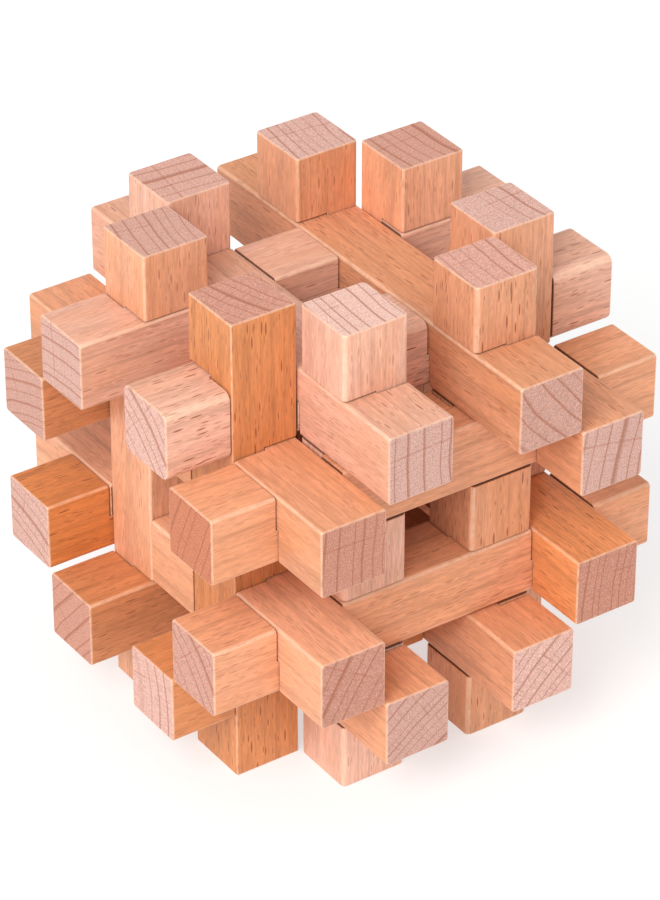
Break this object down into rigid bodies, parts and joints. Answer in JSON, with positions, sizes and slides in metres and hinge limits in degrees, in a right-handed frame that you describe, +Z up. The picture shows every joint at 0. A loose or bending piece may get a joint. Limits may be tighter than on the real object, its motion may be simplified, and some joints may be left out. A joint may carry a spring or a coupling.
{
  "type": "wooden burr puzzle",
  "caption": "Interlocking burr puzzle of notched square wooden sticks crossing in three directions, with their ends standing out on every side like a rounded cube.",
  "frame": {"origin": "on the ground under the middle of the puzzle, centre of the bottom of the bounding box", "axes": "+Z up along the uprights, X along the crossbars, +Y from the front to the back along the depthbars; the sliding half moves towards -Y"},
  "size_m": [0.0706, 0.0706, 0.0706],
  "materials": {
    "beech_pale": "sanded bare beech",
    "beech_mid": "sanded bare beech",
    "beech_orange": "sanded bare beech",
    "beech_red": "sanded bare beech"
  },
  "bodies": {
    "held_half": {"upright_left_front": "beech_mid", "upright_left_back": "beech_pale", "upright_right_front": "beech_pale", "upright_right_back": "beech_pale", "crossbar_front_upper": "beech_mid", "crossbar_front_lower": "beech_pale", "crossbar_back_upper": "beech_pale", "crossbar_back_lower": "beech_orange", "depthbar_left_upper": "beech_mid", "depthbar_left_lower": "beech_orange", "depthbar_right_upper": "beech_orange", "depthbar_right_lower": "beech_mid"},
    "sliding_half": {"upright_front_left": "beech_mid", "upright_front_right": "beech_orange", "upright_back_left": "beech_mid", "upright_back_right": "beech_mid", "crossbar_top_front": "beech_mid", "crossbar_top_back": "beech_orange", "crossbar_bottom_front": "beech_mid", "crossbar_bottom_back": "beech_mid", "depthbar_top_left": "beech_mid", "depthbar_top_right": "beech_pale", "depthbar_bottom_left": "beech_red", "depthbar_bottom_right": "beech_red"}
  },
  "joints": [
    {"name": "halves_slide", "type": "slide", "parent": "held_half", "child": "sliding_half", "axis": [0, -1, 0], "range_m": [0, 0.0104]}
  ]
}
